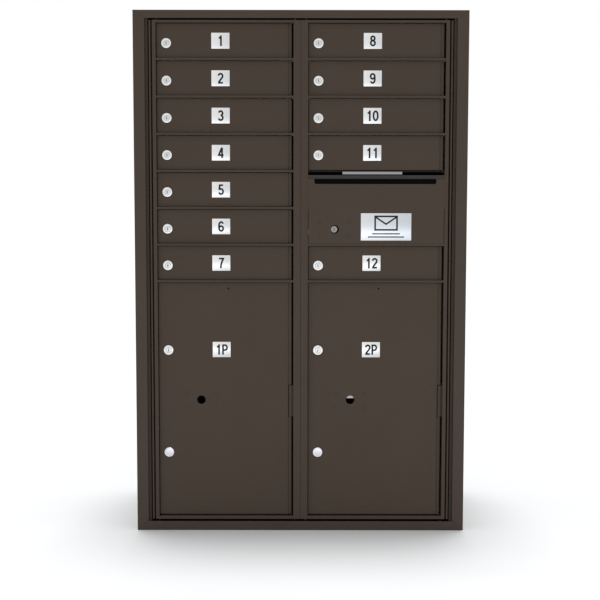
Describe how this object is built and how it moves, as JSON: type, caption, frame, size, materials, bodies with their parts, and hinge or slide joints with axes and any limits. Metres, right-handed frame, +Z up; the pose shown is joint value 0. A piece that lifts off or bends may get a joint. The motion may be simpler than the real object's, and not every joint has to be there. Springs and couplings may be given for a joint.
{
  "type": "cluster mailbox unit",
  "caption": "Wall-recessed cluster mailbox cabinet with hinged loading doors carrying locking tenant doors, parcel lockers and an outgoing mail slot.",
  "frame": {"origin": "centre of the bounding box's bottom face: middle of the width and depth, at the wall trim's lower edge", "axes": "+Z up, the doors face -Y, +X to the right as seen from the front"},
  "size_m": [0.79, 0.4198, 1.244],
  "materials": {
    "bronze": "satin dark bronze powder coat on aluminium sheet",
    "dark_bronze": "satin dark bronze, in shade",
    "mill": "mill finish aluminium sheet",
    "silver": "brushed stainless and satin chrome",
    "plated": "zinc plated"
  },
  "bodies": {
    "cabinet": {"wall_trim": "bronze", "cabinet_shell": "bronze", "back_panel": "bronze", "centre_partition": "mill", "compartment_racks": "mill", "cabinet_hinges": "dark_bronze"},
    "left_master": {"left_master_frame": "bronze", "left_door_pins": "silver"},
    "right_master": {"right_master_frame": "bronze", "right_door_pins": "silver", "outgoing_panel": "bronze", "mail_guard": "silver", "mail_placard": "silver", "postal_lock_case": "plated"},
    "left_latch": {"left_latch_bar": "plated"},
    "right_latch": {"right_latch_bar": "plated"},
    "mail_flap": {"mail_flap": "dark_bronze"},
    "postal_lock": {"postal_lock_plug": "silver"},
    "tenant_door_1": {"door_1": "bronze", "fittings_1": "silver"},
    "lock_1": {"plug_1": "silver"},
    "tenant_door_2": {"door_2": "bronze", "fittings_2": "silver"},
    "lock_2": {"plug_2": "silver"},
    "tenant_door_3": {"door_3": "bronze", "fittings_3": "silver"},
    "lock_3": {"plug_3": "silver"},
    "tenant_door_4": {"door_4": "bronze", "fittings_4": "silver"},
    "lock_4": {"plug_4": "silver"},
    "tenant_door_5": {"door_5": "bronze", "fittings_5": "silver"},
    "lock_5": {"plug_5": "silver"},
    "tenant_door_6": {"door_6": "bronze", "fittings_6": "silver"},
    "lock_6": {"plug_6": "silver"},
    "tenant_door_7": {"door_7": "bronze", "fittings_7": "silver"},
    "lock_7": {"plug_7": "silver"},
    "tenant_door_8": {"door_8": "bronze", "fittings_8": "silver"},
    "lock_8": {"plug_8": "silver"},
    "tenant_door_9": {"door_9": "bronze", "fittings_9": "silver"},
    "lock_9": {"plug_9": "silver"},
    "tenant_door_10": {"door_10": "bronze", "fittings_10": "silver"},
    "lock_10": {"plug_10": "silver"},
    "tenant_door_11": {"door_11": "bronze", "fittings_11": "silver"},
    "lock_11": {"plug_11": "silver"},
    "tenant_door_12": {"door_12": "bronze", "fittings_12": "silver"},
    "lock_12": {"plug_12": "silver"},
    "parcel_locker_1": {"parcel_door_1": "bronze", "parcel_fittings_1": "silver"},
    "parcel_lock_1": {"parcel_plug_1": "silver"},
    "parcel_locker_2": {"parcel_door_2": "bronze", "parcel_fittings_2": "silver"},
    "parcel_lock_2": {"parcel_plug_2": "silver"}
  },
  "joints": [
    {"name": "left_master_hinge", "type": "hinge", "parent": "cabinet", "child": "left_master", "pos_m": [-0.3556, -0.20513, 0.622], "axis": [0, 0, -1], "range_deg": [0, 90]},
    {"name": "right_master_hinge", "type": "hinge", "parent": "cabinet", "child": "right_master", "pos_m": [0.3556, -0.20513, 0.622], "axis": [0, 0, 1], "range_deg": [0, 90]},
    {"name": "door_1_hinge", "type": "hinge", "parent": "left_master", "child": "tenant_door_1", "pos_m": [-0.02335, -0.19737, 1.1733], "axis": [0, 0, 1], "range_deg": [0, 90]},
    {"name": "lock_1_turn", "type": "hinge", "parent": "tenant_door_1", "child": "lock_1", "pos_m": [-0.3173, -0.19612, 1.1676], "axis": [0, 1, 0], "range_deg": [0, 90]},
    {"name": "door_2_hinge", "type": "hinge", "parent": "left_master", "child": "tenant_door_2", "pos_m": [-0.02335, -0.19737, 1.086], "axis": [0, 0, 1], "range_deg": [0, 90]},
    {"name": "lock_2_turn", "type": "hinge", "parent": "tenant_door_2", "child": "lock_2", "pos_m": [-0.3173, -0.19612, 1.0803], "axis": [0, 1, 0], "range_deg": [0, 90]},
    {"name": "door_3_hinge", "type": "hinge", "parent": "left_master", "child": "tenant_door_3", "pos_m": [-0.02335, -0.19737, 0.9987], "axis": [0, 0, 1], "range_deg": [0, 90]},
    {"name": "lock_3_turn", "type": "hinge", "parent": "tenant_door_3", "child": "lock_3", "pos_m": [-0.3173, -0.19612, 0.993], "axis": [0, 1, 0], "range_deg": [0, 90]},
    {"name": "door_4_hinge", "type": "hinge", "parent": "left_master", "child": "tenant_door_4", "pos_m": [-0.02335, -0.19737, 0.9114], "axis": [0, 0, 1], "range_deg": [0, 90]},
    {"name": "lock_4_turn", "type": "hinge", "parent": "tenant_door_4", "child": "lock_4", "pos_m": [-0.3173, -0.19612, 0.9057], "axis": [0, 1, 0], "range_deg": [0, 90]},
    {"name": "door_5_hinge", "type": "hinge", "parent": "left_master", "child": "tenant_door_5", "pos_m": [-0.02335, -0.19737, 0.8241], "axis": [0, 0, 1], "range_deg": [0, 90]},
    {"name": "lock_5_turn", "type": "hinge", "parent": "tenant_door_5", "child": "lock_5", "pos_m": [-0.3173, -0.19612, 0.8184], "axis": [0, 1, 0], "range_deg": [0, 90]},
    {"name": "door_6_hinge", "type": "hinge", "parent": "left_master", "child": "tenant_door_6", "pos_m": [-0.02335, -0.19737, 0.7368], "axis": [0, 0, 1], "range_deg": [0, 90]},
    {"name": "lock_6_turn", "type": "hinge", "parent": "tenant_door_6", "child": "lock_6", "pos_m": [-0.3173, -0.19612, 0.7311], "axis": [0, 1, 0], "range_deg": [0, 90]},
    {"name": "door_7_hinge", "type": "hinge", "parent": "left_master", "child": "tenant_door_7", "pos_m": [-0.02335, -0.19737, 0.6495], "axis": [0, 0, 1], "range_deg": [0, 90]},
    {"name": "lock_7_turn", "type": "hinge", "parent": "tenant_door_7", "child": "lock_7", "pos_m": [-0.3173, -0.19612, 0.6438], "axis": [0, 1, 0], "range_deg": [0, 90]},
    {"name": "door_8_hinge", "type": "hinge", "parent": "right_master", "child": "tenant_door_8", "pos_m": [0.33555, -0.19737, 1.1733], "axis": [0, 0, 1], "range_deg": [0, 90]},
    {"name": "lock_8_turn", "type": "hinge", "parent": "tenant_door_8", "child": "lock_8", "pos_m": [0.0416, -0.19612, 1.1676], "axis": [0, 1, 0], "range_deg": [0, 90]},
    {"name": "door_9_hinge", "type": "hinge", "parent": "right_master", "child": "tenant_door_9", "pos_m": [0.33555, -0.19737, 1.086], "axis": [0, 0, 1], "range_deg": [0, 90]},
    {"name": "lock_9_turn", "type": "hinge", "parent": "tenant_door_9", "child": "lock_9", "pos_m": [0.0416, -0.19612, 1.0803], "axis": [0, 1, 0], "range_deg": [0, 90]},
    {"name": "door_10_hinge", "type": "hinge", "parent": "right_master", "child": "tenant_door_10", "pos_m": [0.33555, -0.19737, 0.9987], "axis": [0, 0, 1], "range_deg": [0, 90]},
    {"name": "lock_10_turn", "type": "hinge", "parent": "tenant_door_10", "child": "lock_10", "pos_m": [0.0416, -0.19612, 0.993], "axis": [0, 1, 0], "range_deg": [0, 90]},
    {"name": "door_11_hinge", "type": "hinge", "parent": "right_master", "child": "tenant_door_11", "pos_m": [0.33555, -0.19737, 0.9114], "axis": [0, 0, 1], "range_deg": [0, 90]},
    {"name": "lock_11_turn", "type": "hinge", "parent": "tenant_door_11", "child": "lock_11", "pos_m": [0.0416, -0.19612, 0.9057], "axis": [0, 1, 0], "range_deg": [0, 90]},
    {"name": "door_12_hinge", "type": "hinge", "parent": "right_master", "child": "tenant_door_12", "pos_m": [0.33555, -0.19737, 0.6495], "axis": [0, 0, 1], "range_deg": [0, 90]},
    {"name": "lock_12_turn", "type": "hinge", "parent": "tenant_door_12", "child": "lock_12", "pos_m": [0.0416, -0.19612, 0.6438], "axis": [0, 1, 0], "range_deg": [0, 90]},
    {"name": "parcel_door_1_hinge", "type": "hinge", "parent": "left_master", "child": "parcel_locker_1", "pos_m": [-0.02335, -0.19737, 0.32025], "axis": [0, 0, 1], "range_deg": [0, 90]},
    {"name": "parcel_lock_1_turn", "type": "hinge", "parent": "parcel_locker_1", "child": "parcel_lock_1", "pos_m": [-0.3173, -0.19612, 0.4398], "axis": [0, 1, 0], "range_deg": [0, 90]},
    {"name": "parcel_door_2_hinge", "type": "hinge", "parent": "right_master", "child": "parcel_locker_2", "pos_m": [0.33555, -0.19737, 0.32025], "axis": [0, 0, 1], "range_deg": [0, 90]},
    {"name": "parcel_lock_2_turn", "type": "hinge", "parent": "parcel_locker_2", "child": "parcel_lock_2", "pos_m": [0.0416, -0.19612, 0.4398], "axis": [0, 1, 0], "range_deg": [0, 90]},
    {"name": "mail_flap_hinge", "type": "hinge", "parent": "right_master", "child": "mail_flap", "pos_m": [0.177, -0.20292, 0.8535], "axis": [1, 0, 0], "range_deg": [0, 70]},
    {"name": "postal_lock_turn", "type": "hinge", "parent": "right_master", "child": "postal_lock", "pos_m": [0.0795, -0.20012, 0.7305], "axis": [0, 1, 0], "range_deg": [0, 90]},
    {"name": "right_latch_slide", "type": "slide", "parent": "right_master", "child": "right_latch", "axis": [0, 0, 1], "range_m": [0, 0.0121]},
    {"name": "left_latch_slide", "type": "slide", "parent": "left_master", "child": "left_latch", "axis": [0, 0, 1], "range_m": [0, 0.012]}
  ],
  "couplings": [
    {"joint": "right_latch_slide", "follows": "postal_lock_turn", "m_per_rad": 0.0076394}
  ]
}
